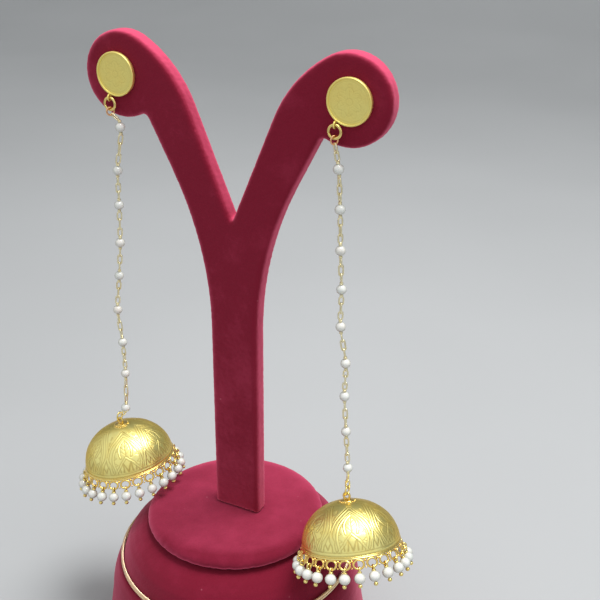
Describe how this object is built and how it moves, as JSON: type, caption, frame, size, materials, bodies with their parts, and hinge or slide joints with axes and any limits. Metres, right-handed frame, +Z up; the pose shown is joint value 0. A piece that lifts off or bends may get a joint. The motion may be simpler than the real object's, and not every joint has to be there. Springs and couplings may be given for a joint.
{
  "type": "pair of jhumka earrings on a velvet display stand",
  "caption": "Domed jhumka earrings with pearl fringes, hung on fine pearl chains from disc studs that are pinned to a Y-shaped velvet display stand.",
  "frame": {"origin": "centre of the stand's foot, on the surface that it stands on", "axes": "+Z up; +X to the viewer's right along the Y board; -Y towards the viewer, the way the stud discs face"},
  "size_m": [0.1213, 0.09, 0.201],
  "materials": {
    "velvet": "short crimson velvet pile",
    "gold_cord": "metallic gold cord",
    "gold": "pale gold plating, bright on the dome and satin on the disc",
    "pearl": "white pearl lustre"
  },
  "bodies": {
    "root": {"stand_base": "velvet", "stand_pad": "velvet", "stand_board": "velvet", "trim_cord_upper": "gold_cord", "trim_cord_lower": "gold_cord", "left_stud": "gold", "right_stud": "gold", "left_stud_ring": "gold", "right_stud_ring": "gold", "left_small_ring": "gold", "right_small_ring": "gold", "left_chain": "gold", "right_chain": "gold"},
    "left_ring": {"left_drop_ring": "gold"},
    "left_drop": {"left_dome": "gold", "left_fringe": "pearl"},
    "right_ring": {"right_drop_ring": "gold"},
    "right_drop": {"right_dome": "gold", "right_fringe": "pearl"}
  },
  "joints": [
    {"name": "left_ring_swing", "type": "hinge", "parent": "root", "child": "left_ring", "pos_m": [-0.04259, -0.00279, 0.07572], "axis": [-1, 0, 0], "range_deg": [-4, 6]},
    {"name": "left_dome_swing", "type": "hinge", "parent": "left_ring", "child": "left_drop", "pos_m": [-0.04259, -0.00276, 0.07352], "axis": [0, -0.9999, -0.0113], "range_deg": [-3, 45]},
    {"name": "right_ring_swing", "type": "hinge", "parent": "root", "child": "right_ring", "pos_m": [0.0411, -0.00369, 0.07405], "axis": [-1, 0, 0], "range_deg": [0, 45]},
    {"name": "right_dome_swing", "type": "hinge", "parent": "right_ring", "child": "right_drop", "pos_m": [0.0411, -0.00428, 0.07193], "axis": [0, -0.9622, 0.2723], "range_deg": [0, 45]}
  ]
}
